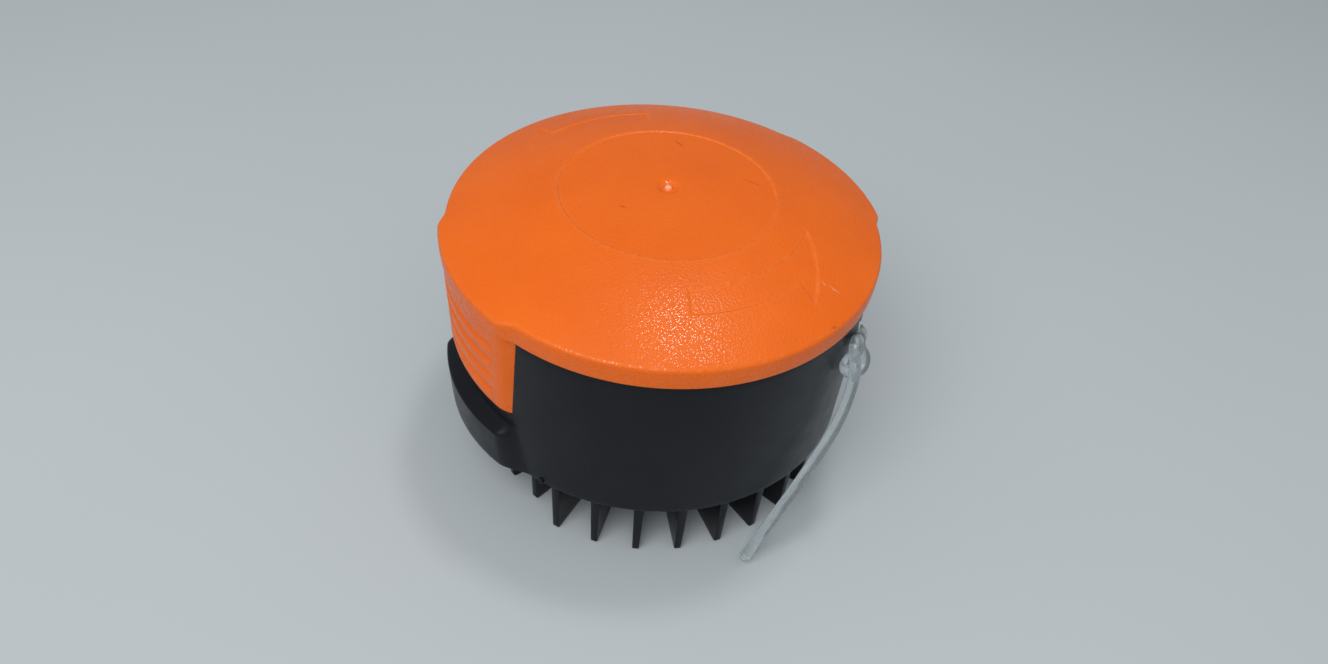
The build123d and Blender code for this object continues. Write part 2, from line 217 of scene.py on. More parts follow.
def light_studio():
    """Soft lamp overhead, a large one at the front left, and a pale surround that brightens smoothly
    towards it."""
    scene = bpy.context.scene
    scene.view_settings.view_transform = "Standard"
    bright_side, dim, bright = (-0.58, -0.58, 0.45), (0.20, 0.212, 0.22), (0.54, 0.58, 0.605)
    world = bpy.data.worlds.new("pale_surround")
    world.use_nodes = True
    tree = world.node_tree
    direction = tree.nodes.new("ShaderNodeTexCoord").outputs["Generated"]
    facing = tree.nodes.new("ShaderNodeVectorMath")
    facing.operation = "DOT_PRODUCT"
    facing.inputs[1].default_value = bright_side
    tree.links.new(direction, facing.inputs[0])
    shade = spread(tree, facing.outputs["Value"], -0.9, 0.9, 0.0, 1.0)
    surround = blend_colours(tree, shade, dim, bright)
    tree.links.new(surround, tree.nodes["Background"].inputs["Color"])
    scene.world = world
    add_softbox("overhead_softbox", place=(0.092, 0.029, 0.62), aim=(0, 0, 0.06),
                size=(0.085, 0.07), watts=0.6)
    add_softbox("front_left_softbox", place=(-0.36, -0.28, 0.62), aim=(0, 0, 0.04),
                size=(0.50, 0.42), watts=2.8)


place_camera()


# Materials

def plastic(name):
    """New material with its node tree, its shader and a texture coordinate in the object's own space."""
    material = bpy.data.materials.new(name)
    material.use_nodes = True
    tree = material.node_tree
    shader = tree.nodes["Principled BSDF"]
    place = tree.nodes.new("ShaderNodeTexCoord").outputs["Object"]
    return material, tree, shader, place


def noise(tree, place, scale, detail, roughness=0.5):
    """Noise at so many cells a metre."""
    texture = tree.nodes.new("ShaderNodeTexNoise")
    texture.inputs["Scale"].default_value = scale
    texture.inputs["Detail"].default_value = detail
    texture.inputs["Roughness"].default_value = roughness
    tree.links.new(place, texture.inputs["Vector"])
    return texture.outputs["Fac"]


def spread(tree, value, low, high, to_low, to_high):
    """A value carried from one range to another, clamped at both ends."""
    reach = tree.nodes.new("ShaderNodeMapRange")
    for socket, number in zip(reach.inputs[1:5], (low, high, to_low, to_high)):
        socket.default_value = number
    tree.links.new(value, reach.inputs[0])
    return reach.outputs[0]


def blend_colours(tree, share, first, second):
    """Mix of two colours, either of which may be a socket or three numbers."""
    mix = tree.nodes.new("ShaderNodeMix")
    mix.data_type = "RGBA"
    tree.links.new(share, mix.inputs[0])
    for socket, colour in ((mix.inputs[6], first), (mix.inputs[7], second)):
        if isinstance(colour, bpy.types.NodeSocket):
            tree.links.new(colour, socket)
        else:
            socket.default_value = (*colour, 1.0)
    return mix.outputs[2]


def combine(tree, operation, first, second):
    """Math node on a socket and a socket or number."""
    node = tree.nodes.new("ShaderNodeMath")
    node.operation = operation
    for socket, value in zip(node.inputs, (first, second)):
        if isinstance(value, bpy.types.NodeSocket):
            tree.links.new(value, socket)
        else:
            socket.default_value = value
    return node.outputs[0]


def raise_grain(tree, height, strength, distance, normal):
    """Bump from a height socket into a normal socket; distance in millimetres."""
    bump = tree.nodes.new("ShaderNodeBump")
    bump.inputs["Strength"].default_value = strength
    bump.inputs["Distance"].default_value = distance * MM
    tree.links.new(height, bump.inputs["Height"])
    tree.links.new(bump.outputs["Normal"], normal)


def scuff_mask(tree, place, x, y, angle, length, width):
    """1 inside a thin lens on the plan at x, y turned by an angle, fading to 0 at its edge."""
    mapping = tree.nodes.new("ShaderNodeMapping")
    mapping.vector_type = "TEXTURE"
    mapping.inputs["Location"].default_value = (x * MM, y * MM, 0)
    mapping.inputs["Rotation"].default_value = (0, 0, radians(angle))
    mapping.inputs["Scale"].default_value = (length * MM, width * MM, 1)
    tree.links.new(place, mapping.inputs["Vector"])
    flat = tree.nodes.new("ShaderNodeVectorMath")
    flat.operation = "MULTIPLY"
    flat.inputs[1].default_value = (1, 1, 0)
    tree.links.new(mapping.outputs[0], flat.inputs[0])
    reach = tree.nodes.new("ShaderNodeVectorMath")
    reach.operation = "LENGTH"
    tree.links.new(flat.outputs[0], reach.inputs[0])
    return spread(tree, reach.outputs["Value"], 1.0, 0.4, 0.0, 1.0)


def orange_plastic():
    """Satin orange moulding with rubbed edges, their lighter colour also a painted highlight, a whitened gate
    nub and a few scuffs. Its grain is a field of small round hollows, whose height rises with the square of
    the distance from the middle and whose gloss falls with it."""
    material, tree, shader, place = plastic("orange_satin_plastic")
    deep, bright = (0.81, 0.128, 0.003), (0.855, 0.142, 0.004)
    # Lighter edge colour: rubbed wear, and also a painted highlight along the edges
    rubbed_and_highlit, white = (0.88, 0.25, 0.06), (1.0, 0.56, 0.36)
    dark_tint, light_tint = (0.36, 0.055, 0.012), (0.95, 0.45, 0.27)
    cloud = noise(tree, place, 70, 3)
    colour = blend_colours(tree, spread(tree, cloud, 0.3, 0.7, 0, 1), deep, bright)
    # Edge band from the mesh attribute, lighter near every edge: part rubbed wear, part painted highlight
    wear_and_highlight = tree.nodes.new("ShaderNodeAttribute")
    wear_and_highlight.attribute_name = "edge_wear_and_highlight"
    patchy = spread(tree, noise(tree, place, 900, 3), 0.42, 0.62, 0.05, 0.3)
    colour = blend_colours(tree, combine(tree, "MULTIPLY", wear_and_highlight.outputs["Fac"], patchy), colour, rubbed_and_highlit)
    whitened = combine(tree, "MULTIPLY", scuff_mask(tree, place, 0, 0, 0, 0.95, 0.95), 0.75)
    colour = blend_colours(tree, whitened, colour, white)
    # Scuffs: x, y, angle, half length and half width of each
    dark_marks = ((-11.0, -1.8, 128, 0.85, 0.42), (10.7, 14.6, 100, 1.9, 0.34), (18.0, -3.8, -54, 2.5, 0.24),
                  (13.5, -41.9, 10, 0.8, 0.36))
    light_marks = ((18.3, -34.6, -52, 1.5, 0.2), (16.9, -33.0, 95, 0.9, 0.16))
    wobble = tree.nodes.new("ShaderNodeTexNoise")
    wobble.inputs["Scale"].default_value = 700
    tree.links.new(place, wobble.inputs["Vector"])
    shift = tree.nodes.new("ShaderNodeVectorMath")
    shift.operation = "MULTIPLY_ADD"
    shift.inputs[1].default_value = (0.0009, 0.0009, 0)
    tree.links.new(wobble.outputs["Color"], shift.inputs[0])
    tree.links.new(place, shift.inputs[2])
    for marks, tint, depth in ((dark_marks, dark_tint, 0.5), (light_marks, light_tint, 0.45)):
        cover = scuff_mask(tree, shift.outputs[0], *marks[0])
        for mark in marks[1:]:
            cover = combine(tree, "MAXIMUM", cover, scuff_mask(tree, shift.outputs[0], *mark))
        colour = blend_colours(tree, combine(tree, "MULTIPLY", cover, depth), colour, tint)
    tree.links.new(colour, shader.inputs["Base Color"])
    shader.inputs["Specular IOR Level"].default_value = 0.22
    tree.links.new(spread(tree, noise(tree, place, 90, 3), 0.3, 0.7, 0.38, 0.44), shader.inputs["Roughness"])
    hollows = tree.nodes.new("ShaderNodeTexVoronoi")
    hollows.inputs["Scale"].default_value = 1950
    tree.links.new(place, hollows.inputs["Vector"])
    off_middle = hollows.outputs["Distance"]
    height = combine(tree, "MULTIPLY", off_middle, off_middle)
    raise_grain(tree, height, 0.5, 0.1, shader.inputs["Normal"])
    tree.links.new(spread(tree, off_middle, 0.15, 0.5, 0.9, 0.04), shader.inputs["Coat Weight"])
    shader.inputs["Coat Roughness"].default_value = 0.1
    raise_grain(tree, height, 1.0, 0.062, shader.inputs["Coat Normal"])
    return material


def dark_plastic(name, deep, worn, rough_low, rough_high, dust):
    """Satin dark moulding: fine spark grain, faint cloudiness, pale dust in patches."""
    material, tree, shader, place = plastic(name)
    dust_colour = (0.16, 0.15, 0.135)
    cloud = spread(tree, noise(tree, place, 110, 4), 0.35, 0.7, 0, 1)
    colour = blend_colours(tree, cloud, deep, worn)
    specks = spread(tree, noise(tree, place, 1500, 2), 0.62, 0.75, 0, dust)
    patch = spread(tree, noise(tree, place, 45, 2), 0.45, 0.65, 0, 1)
    colour = blend_colours(tree, combine(tree, "MULTIPLY", specks, patch), colour, dust_colour)
    tree.links.new(colour, shader.inputs["Base Color"])
    tree.links.new(spread(tree, noise(tree, place, 260, 3), 0.3, 0.7, rough_low, rough_high),
                   shader.inputs["Roughness"])
    shader.inputs["Specular IOR Level"].default_value = 0.2
    raise_grain(tree, noise(tree, place, 2600, 3, 0.6), 0.3, 0.03, shader.inputs["Normal"])
    return material


def clear_nylon():
    """Clear extruded line, a little milky in patches."""
    material, tree, shader, place = plastic("clear_nylon_line")
    milk = spread(tree, noise(tree, place, 240, 3), 0.3, 0.7, 0, 1)
    clear, milky = (0.70, 0.755, 0.775), (0.77, 0.82, 0.835)
    tree.links.new(blend_colours(tree, milk, clear, milky), shader.inputs["Base Color"])
    shader.inputs["Transmission Weight"].default_value = 0.82
    shader.inputs["IOR"].default_value = 1.5
    tree.links.new(spread(tree, noise(tree, place, 900, 2), 0.3, 0.7, 0.07, 0.1), shader.inputs["Roughness"])
    return material


def turned_steel():
    """Plated steel with fine rings from turning."""
    material, tree, shader, place = plastic("turned_steel")
    shader.inputs["Metallic"].default_value = 1.0
    tone = spread(tree, noise(tree, place, 350, 3), 0.3, 0.7, 0, 1)
    dull, plated = (0.30, 0.31, 0.31), (0.38, 0.39, 0.39)
    tree.links.new(blend_colours(tree, tone, dull, plated), shader.inputs["Base Color"])
    tree.links.new(spread(tree, noise(tree, place, 700, 3), 0.3, 0.7, 0.42, 0.58), shader.inputs["Roughness"])
    rings = tree.nodes.new("ShaderNodeTexWave")
    rings.wave_type = "RINGS"
    rings.rings_direction = "Z"
    rings.inputs["Scale"].default_value = 900
    rings.inputs["Distortion"].default_value = 1.5
    tree.links.new(place, rings.inputs["Vector"])
    raise_grain(tree, rings.outputs["Fac"], 0.12, 0.02, shader.inputs["Normal"])
    return material


def pale_floor():
    """Plain pale studio floor, cool and matt."""
    material, tree, shader, place = plastic("pale_studio_floor")
    tone = spread(tree, noise(tree, place, 6, 2), 0.3, 0.7, 0, 1)
    shaded, pale = (0.50, 0.535, 0.55), (0.52, 0.555, 0.57)
    tree.links.new(blend_colours(tree, tone, shaded, pale), shader.inputs["Base Color"])
    shader.inputs["Roughness"].default_value = 0.75
    return material


light_studio()
ORANGE = orange_plastic()
BLACK = dark_plastic("black_satin_plastic", deep=(0.003, 0.0035, 0.0062), worn=(0.005, 0.0056, 0.0088),
                     rough_low=0.29, rough_high=0.37, dust=0.05)
REEL_GREY = dark_plastic("reel_grey_plastic", deep=(0.035, 0.036, 0.038), worn=(0.05, 0.051, 0.053),
                         rough_low=0.36, rough_high=0.5, dust=0.12)
NYLON = clear_nylon()
STEEL = turned_steel()


# Mesh tools

def smooth_step(low, high, x):
    """0 below low, 1 above high, and a smooth S between."""
    t = np.clip((x - low) / (high - low), 0, 1)
    return t * t * (3 - 2 * t)


def crowded(count):
    """Numbers from -1 to 1, closer together at both ends."""
    t = np.linspace(-1, 1, count)
    return 1.5 * t - 0.5 * t**3


def around(radius, angle, height):
    """Points from radius, angle in degrees and height, all spread to one grid."""
    radius, angle, height = np.broadcast_arrays(radius, np.radians(angle), height)
    return np.stack([radius * np.cos(angle), radius * np.sin(angle), height], -1)


def least(first, second, soft):
    """The lesser of two arrays, with the corner between them rounded over the distance soft."""
    share = np.clip(0.5 + 0.5 * (second - first) / soft, 0, 1)
    return second + (first - second) * share - soft * share * (1 - share)


class Moulding:
    """Grid patches gathered into one mesh; patches that share an edge repeat its points."""

    def __init__(self):
        self.points, self.faces, self.count = [], [], 0

    def add(self, points, faces):
        """Points of one patch, with its faces renumbered after those already gathered."""
        self.points.append(points.reshape(-1, 3))
        self.faces.extend((faces + self.count).tolist())
        self.count += points.size // 3

    def sheet(self, grid, closed=False):
        """Quads over a grid of rows and columns; closed joins the last column to the first."""
        rows, columns = grid.shape[:2]
        row = np.arange(rows - 1)[:, None] * columns
        column = np.arange(columns if closed else columns - 1)[None, :]
        after = (column + 1) % columns
        corners = (row + column, row + after, row + columns + after, row + columns + column)
        self.add(grid, np.stack(corners, -1).reshape(-1, 4))

    def lid(self, ring, middle):
        """Triangles from a closed ring of points to one middle point."""
        count = len(ring)
        index = np.arange(count)
        corners = np.stack([index, (index + 1) % count, np.full(count, count)], -1)
        self.add(np.vstack([ring, np.reshape(middle, (1, 3))]), corners)


def finish_piece(piece, material, body, nodes):
    """Gives a piece its material and body, and hides the nodes that it stands for."""
    piece.data.materials.clear()
    piece.data.materials.append(material)
    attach(piece, body)
    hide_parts(*nodes)


def join_up(mesh, sharp):
    """Merges doubles, turns the faces outwards and shades smooth but for edges above an angle."""
    work = bmesh.new()
    work.from_mesh(mesh)
    bmesh.ops.remove_doubles(work, verts=work.verts, dist=2e-6)
    bmesh.ops.dissolve_degenerate(work, edges=work.edges, dist=1e-7)
    bmesh.ops.recalc_face_normals(work, faces=work.faces)
    work.to_mesh(mesh)
    work.free()
    mesh.polygons.foreach_set("use_smooth", np.ones(len(mesh.polygons), bool))
    mesh.set_sharp_from_angle(angle=radians(sharp))


def mould(name, moulding, sharp=SHARP_ANGLE):
    """Object from a moulding's patches."""
    mesh = bpy.data.meshes.new(name)
    mesh.from_pydata((np.vstack(moulding.points) * MM).tolist(), [], moulding.faces)
    join_up(mesh, sharp)
    piece = bpy.data.objects.new(name, mesh)
    bpy.context.collection.objects.link(piece)
    return piece


def cut_out(piece, moulding):
    """Takes a closed moulding out of a piece and leaves the result in its mesh."""
    cutter = mould("cutter", moulding)
    cut = piece.modifiers.new("cut", "BOOLEAN")
    cut.object = cutter
    cut.solver = "EXACT"
    shaped = piece.evaluated_get(bpy.context.evaluated_depsgraph_get())
    mesh = bpy.data.meshes.new_from_object(shaped)
    piece.modifiers.clear()
    piece.data = mesh
    bpy.data.objects.remove(cutter)
    join_up(mesh, SHARP_ANGLE)


def tube(path, radius, sides=24):
    """Closed tube of one radius along a path of points, its frame carried without twist about Z."""
    ahead = np.gradient(path, axis=0)
    ahead /= np.linalg.norm(ahead, axis=1)[:, None]
    side = np.cross(ahead, (0.0, 0.0, 1.0))
    side /= np.linalg.norm(side, axis=1)[:, None]
    over = np.cross(side, ahead)
    turn = np.linspace(0, TURN, sides, endpoint=False)
    ring = np.cos(turn)[None, :, None] * side[:, None] + np.sin(turn)[None, :, None] * over[:, None]
    result = Moulding()
    grid = path[:, None] + radius * ring
    result.sheet(grid, closed=True)
    result.lid(grid[0], path[0])
    result.lid(grid[-1], path[-1])
    return result


def spin(profile, columns):
    """Closed surface of revolution about Z of a profile that starts and ends on the axis."""
    profile = np.array(profile, float)
    angle = np.linspace(0, 360, columns, endpoint=False)
    grid = around(profile[1:-1, 0][:, None], angle[None, :], profile[1:-1, 1][:, None])
    result = Moulding()
    result.sheet(grid, closed=True)
    result.lid(grid[0], (0, 0, profile[0, 1]))
    result.lid(grid[-1], (0, 0, profile[-1, 1]))
    return result


# Line: the free cord, then the run that feeds it

def make_cord():
    """Knot and hanging tail as one spline, its points in millimetres, from the eyelet to the cut end."""
    route = [
        (30.5, -31.0, 43.6), (30.4, -33.2, 43.9), (28.0, -35.6, 45.7), (26.2, -36.9, 46.7),
        (25.8, -38.0, 45.5), (26.8, -38.7, 44.0), (27.1, -39.2, 42.5), (26.1, -39.9, 41.1),
        (24.3, -40.0, 40.7), (22.6, -40.0, 41.4), (21.5, -40.0, 42.6), (21.3, -39.7, 44.0),
        (22.3, -39.3, 44.8), (23.3, -39.1, 45.1), (24.2, -39.1, 45.9), (24.5, -38.7, 47.2),
        (24.2, -38.6, 48.6), (23.2, -39.1, 49.8), (22.1, -40.2, 49.3), (21.7, -41.1, 47.8),
        (21.9, -41.8, 45.9), (22.1, -42.2, 43.5), (22.3, -42.3, 36.8), (20.3, -43.3, 31.1),
        (17.1, -44.3, 25.9), (13.4, -45.2, 20.9), (9.6, -46.1, 16.1), (5.8, -46.8, 11.2),
        (2.3, -47.4, 6.2), (-1.0, -47.9, 1.3),
    ]
    curve = bpy.data.curves.new("line_knot_and_tail", "CURVE")
    curve.dimensions = "3D"
    curve.bevel_depth = LINE_RADIUS * MM
    curve.bevel_resolution = 6
    curve.resolution_u = 16
    curve.use_fill_caps = True
    spline = curve.splines.new("NURBS")
    spline.points.add(len(route) - 1)
    for point, place in zip(spline.points, route):
        point.co = (*(value * MM for value in place), 1.0)
    spline.order_u = 3
    spline.use_endpoint_u = True
    piece = bpy.data.objects.new("line_knot_and_tail", curve)
    bpy.context.collection.objects.link(piece)
    finish_piece(piece, NYLON, "housing", ("line_knot", "line_tail"))


def make_lead():
    """Straight run of line from the winding to the eyelet, where the free cord starts."""
    path = np.linspace((EXIT_X, 0.0, EXIT_Z), (EXIT_X, LEAD_END_Y, EXIT_Z), 24)
    piece = mould("line_lead_run", tube(path, LINE_RADIUS))
    finish_piece(piece, NYLON, "housing", ("line_lead",))


make_cord()
make_lead()


# Cap

def arrow_inside(x, y):
    """Distance inside the outline of the sunk arrow: the band's ring sector joined to the head, which lies
    ahead of the line from neck to barb and behind the arc through tip, middle and barb."""
    radius = np.hypot(x, y)
    angle = np.degrees(np.arctan2(y, x)) % 360
    neck = around(ARROW_OUTER, 289.5, 0.0)[:2]
    barb = around(38.9, 287.9, 0.0)[:2]
    middle = around(34.9, 298.5, 0.0)[:2]
    tip = around(ARROW_INNER, 314.6, 0.0)[:2]
    chords = np.array([middle - tip, barb - tip])
    centre = tip + np.linalg.solve(2 * chords, (chords**2).sum(1))
    front = np.hypot(*(tip - centre)) - np.hypot(x - centre[0], y - centre[1])
    along = (barb - neck) / np.hypot(*(barb - neck))
    ahead = (x - neck[0]) * -along[1] + (y - neck[1]) * along[0]
    ahead = ahead * np.sign((tip[0] - neck[0]) * -along[1] + (tip[1] - neck[1]) * along[0])
    inner = radius - ARROW_INNER
    started = np.radians(angle - ARROW_TAIL) * radius
    head = np.minimum(np.minimum(inner, front), ahead)
    band = np.minimum(np.minimum(inner, ARROW_OUTER - radius), np.minimum(started, front))
    return np.maximum(head, band)


def off_tab(angle):
    """Degrees from an angle to the nearer tab's axis."""
    return np.abs((angle + 90) % 180 - 90)


def dome_height(radius):
    """Height of the dome's sphere at a radius."""
    return CROWN_Z - DOME_RADIUS + np.sqrt(DOME_RADIUS**2 - radius**2)


def cap_top(radius, angle):
    """Height of the cap's top: sphere, sunk disc that crowns again, gate dimple with its nub, and the sunk
    arrow with its copy turned half round. Also the nearness to an edge, for its wear and its painted
    highlight."""
    x = radius * np.cos(np.radians(angle))
    y = radius * np.sin(np.radians(angle))
    disc = dome_height(DISC_RADIUS) - DISC_STEP + DISC_CROWN * (1 - (radius / DISC_RADIUS)**2)
    outside = smooth_step(DISC_RADIUS - DISC_EASE, DISC_RADIUS + DISC_EASE, radius)
    height = disc + (dome_height(radius) - disc) * outside
    height = height - GATE_DEPTH * (1 - smooth_step(GATE_RADIUS * 0.45, GATE_RADIUS, radius))
    height = height + (GATE_DEPTH - NUB_DROP) * (1 - smooth_step(NUB_RADIUS * 0.6, NUB_RADIUS * 1.15, radius))
    inside = np.maximum(arrow_inside(x, y), arrow_inside(-x, -y))
    height = height - ARROW_DEPTH * smooth_step(-ARROW_EASE, ARROW_EASE, inside)
    wear_and_highlight = np.maximum(np.exp(-(inside / ARROW_WEAR_AND_HIGHLIGHT)**2), np.exp(-((radius - DISC_RADIUS) / DISC_WEAR_AND_HIGHLIGHT)**2))
    return height, wear_and_highlight


def cap_columns(count):
    """Angles round the cap, closer together over the arrows and at the steps of the rim."""
    fine = np.linspace(0, 360, 7201)
    arrow = smooth_step(244, 248, fine % 180 + 180) * (1 - smooth_step(316, 320, fine % 180 + 180))
    step = smooth_step(16.5, 18.5, off_tab(fine)) * (1 - smooth_step(26, 28, off_tab(fine)))
    weight = np.cumsum(1 + 2.4 * arrow + 2.0 * step)
    return np.interp(np.linspace(weight[0], weight[-1], count + 1)[:-1], weight, fine)


def cap_cover(cap):
    """Cover as one closed sheet. Down a column run the top, the rim's round, the drafted side, the foot's
    round, the skirt, the hollow with its boss and the spring's spigot; the rim's radius grows over each tab
    by a smooth S. Returns every point's edge wear and painted highlight."""
    angle = cap_columns(660)
    rim = CAP_RADIUS + BULGE * (1 - smooth_step(BULGE_FLAT_ANGLE, BULGE_END_ANGLE, off_tab(angle)))
    gate = (0.2, 0.4, 0.55, 0.65, 0.75, 0.85, 0.95, 1.04, 1.2, 1.45, 1.75, 2.05, 2.35, 2.6)
    arrow_band = np.arange(29.5, 34.0, 0.4)
    arrow_head = np.arange(34.85, 39.3, 0.3)
    both_sides = np.array([-0.3, -0.2, -0.1, 0.0, 0.1, 0.2, 0.3])
    plain = np.concatenate([
        gate, np.linspace(4.5, 21.4, 7), DISC_RADIUS + both_sides,
        (23.6, 25.2, 26.8, 28.2), ARROW_INNER + both_sides, arrow_band,
        ARROW_OUTER + np.array([-0.2, -0.1, 0.0, 0.1, 0.2, 0.3]), arrow_head, (39.6,),
    ])
    ball = DOME_RADIUS - RIM_ROUND
    meet = DOME_RADIUS * (rim - RIM_ROUND) / ball
    outer = plain[-1] + (meet - plain[-1]) * np.array([0.35, 0.7, 0.93])[:, None]
    radius = np.vstack([np.repeat(plain[:, None], angle.size, 1), outer])
    height, wear_and_highlight = cap_top(radius, angle[None, :])
    round_z = CROWN_Z - DOME_RADIUS + np.sqrt(ball**2 - (rim - RIM_ROUND)**2)
    lean = np.arcsin((rim - RIM_ROUND) / ball)
    bend = (pi / 2 - lean) * np.linspace(1, 0, 11)[:, None]
    rim_radius = rim - RIM_ROUND + RIM_ROUND * np.cos(bend)
    rim_height = round_z + RIM_ROUND * np.sin(bend)
    drop = np.array([0.3, 0.6, 0.85, 1.0])[:, None]
    side_radius = rim - SIDE_DRAFT * drop**2
    side_height = round_z + (SEAT_Z + FOOT_ROUND - round_z) * drop
    curl = (pi / 2) * np.array([0.2, 0.45, 0.72, 1.0])[:, None]
    foot_radius = rim - SIDE_DRAFT - FOOT_ROUND * (1 - np.cos(curl))
    foot_height = np.broadcast_to(SEAT_Z + FOOT_ROUND * (1 - np.sin(curl)), foot_radius.shape)
    below = np.array([
        (41.5, 54.4), (41.5, 51.8), (41.15, 51.4), (40.25, 51.4), (39.9, 51.8), (39.9, 57.2), (39.4, 58.3),
        (38.2, 59.1), (34.0, 60.75), (28.0, 62.35), (22.2, 63.35), (13.5, 63.35), (13.0, 62.9), (13.0, 61.4),
        (10.1, 61.4), (10.1, 56.2), (9.8, 55.9), (8.6, 55.9), (8.3, 56.2), (8.3, 63.35), (4.0, 63.35),
    ])
    under = np.repeat(below[:, :, None], angle.size, 2)
    radius = np.vstack([radius, rim_radius, side_radius, foot_radius, under[:, 0]])
    height = np.vstack([height, rim_height, side_height, foot_height, under[:, 1]])
    grid = around(radius, angle[None, :], height)
    cap.sheet(grid, closed=True)
    cap.lid(grid[0], (0, 0, grid[0, 0, 2]))
    cap.lid(grid[-1], (0, 0, below[-1, 1]))
    # Painted highlight along the rim's top round, a lighter band laid on like rubbed wear
    rim_wear_and_highlight = 0.6 * np.exp(-((rim_height - round_z - 0.75) / 0.25)**2)
    rest = np.zeros((len(radius) - len(wear_and_highlight) - len(rim_wear_and_highlight), angle.size))
    lids = (np.full(angle.size + 1, wear_and_highlight[0, 0]), np.zeros(angle.size + 1))
    return np.concatenate([np.vstack([wear_and_highlight, rim_wear_and_highlight, rest]).ravel(), *lids])


def cap_tab(cap, axis):
    """Grip tab about an axis angle, a closed loop carried down in height. Its face is the lesser of the
    drafted face, the slanted sides and the foot's round, with soft corners, less a ladder of grooves with
    blunt ends. Returns every point's edge wear and painted highlight, which is none."""
    rows = np.concatenate([np.arange(55.2, 35.4, -0.28), np.linspace(35.3, TAB_FOOT_Z, 22)])
    z = rows[:, None]
    half = TAB_FOOT_ANGLE + (TAB_TOP_ANGLE - TAB_FOOT_ANGLE) * (z - TAB_FOOT_Z) / (SEAT_Z - TAB_FOOT_Z)
    side_depth = TAB_SIDE_RADIUS - TAB_BACK - TAB_BACK_EDGE
    wide = half + np.degrees(side_depth * TAB_SIDE_RUN / TAB_SIDE_RADIUS)
    angle = wide * crowded(97)[None, :]
    face = TAB_FACE_FOOT + (TAB_FACE_TOP - TAB_FACE_FOOT) * (z - TAB_FOOT_Z) / (SEAT_Z - TAB_FOOT_Z)
    sides = TAB_SIDE_RADIUS + np.radians(half - np.abs(angle)) * TAB_SIDE_RADIUS / TAB_SIDE_RUN
    up = np.clip(z - TAB_FOOT_Z, 0, TAB_ROUND)
    foot = face - TAB_ROUND + np.sqrt(np.maximum(TAB_ROUND**2 - (TAB_ROUND - up)**2, 0))
    radius = least(np.broadcast_to(foot, angle.shape), sides, TAB_SIDE_EASE)
    radius = np.maximum(radius, TAB_BACK + TAB_LEAST_DEPTH)
    groove_end = np.interp(z, GROOVE_HEIGHTS[::-1], np.linspace(GROOVE_FOOT_ANGLE, GROOVE_TOP_ANGLE, 4))
    open_share = 1 - smooth_step(groove_end - 0.5, groove_end + 0.3, np.abs(angle))
    for middle in GROOVE_HEIGHTS:
        sunk = np.sqrt(np.maximum(GROOVE_RADIUS**2 - (z - middle)**2, 0)) - (GROOVE_RADIUS - GROOVE_DEPTH)
        radius = radius - least(np.maximum(sunk, 0), GROOVE_DEPTH + 0 * sunk, 0.12) * open_share
    back_angle = wide * np.linspace(1, -1, 14)[None, :]
    outside = around(radius, axis + angle, z)
    inside = around(TAB_BACK, axis + back_angle, z)
    grid = np.concatenate([outside, inside], 1)
    cap.sheet(grid, closed=True)
    cap.lid(grid[0], around(44.2, axis, rows[0]))
    cap.lid(grid[-1], around(43.4, axis, rows[-1]))
    return np.zeros(grid.shape[0] * grid.shape[1] + 2 * (grid.shape[1] + 1))


def make_cap():
    """Cover and two tabs in one mesh, with the nearness to edges, for their wear and painted highlight, kept
    as an attribute.
    """
    cap = Moulding()
    wear_and_highlight = np.concatenate([cap_cover(cap), cap_tab(cap, 0), cap_tab(cap, 180)])
    mesh = bpy.data.meshes.new("cap_cover")
    mesh.from_pydata((np.vstack(cap.points) * MM).tolist(), [], cap.faces)
    worn = mesh.attributes.new("edge_wear_and_highlight", "FLOAT", "POINT")
    worn.data.foreach_set("value", wear_and_highlight)
    join_up(mesh, 40)
    piece = bpy.data.objects.new("cap_cover", mesh)
    bpy.context.collection.objects.link(piece)
    finish_piece(piece, ORANGE, "cap", ("cap",))


def make_spring():
    """Coil spring: wire along a helix whose end turns lie flat, between the reel and the cap's boss."""
    turn = np.linspace(0, SPRING_TURNS, 361)
    ends = (0, SPRING_END_TURN, SPRING_TURNS - SPRING_END_TURN, SPRING_TURNS)
    heights = (SPRING_FOOT_Z, SPRING_FOOT_Z + SPRING_END_RISE, SPRING_TOP_Z - SPRING_END_RISE, SPRING_TOP_Z)
    path = around(SPRING_RADIUS, 360 * turn, np.interp(turn, ends, heights))
    piece = mould("cap_spring_coil", tube(path, SPRING_WIRE_RADIUS, 14))
    finish_piece(piece, STEEL, "cap", ("cap_spring",))


make_cap()
make_spring()


# Housing

def wall_radius(z):
    """Outer radius of the drafted wall at a height."""
    return WALL_FOOT_RADIUS + WALL_LEAN * (z - FOOT_Z) / WALL_HEIGHT


def outer_skin(angle, z):
    """Radius of the housing's outside: the drafted wall with a small round at its foot, and two ledges whose
    plan is a flattened arc that falls back to the wall by a smooth S at each end, later at the foot than at
    the top, and whose side leans out to a soft edge before its top slopes up to the wall."""
    off = off_tab(angle)
    climb = (z - FOOT_Z) / (LEDGE_TOP_Z - FOOT_Z)
    end = LEDGE_END_FOOT + (LEDGE_END_TOP - LEDGE_END_FOOT) * np.clip(climb, 0, 1)
    plan = (1 - LEDGE_FLATTENING * (off / LEDGE_CORNER)**2) * (1 - smooth_step(LEDGE_CORNER - 0.6, end, off))
    plan = np.where(off < end, plan, 0.0)
    side = LEDGE_FOOT_SHARE + (1 - LEDGE_FOOT_SHARE) * climb
    top = (LEDGE_TOP_Z + LEDGE_RISE - z) / LEDGE_RISE
    stand = np.maximum(least(side, top, LEDGE_EDGE_EASE), 0)
    edge = np.clip(WALL_EDGE - (z - FOOT_Z), 0, WALL_EDGE)
    foot = WALL_EDGE - np.sqrt(WALL_EDGE**2 - edge**2)
    return wall_radius(z) + LEDGE_STAND * plan * stand - foot


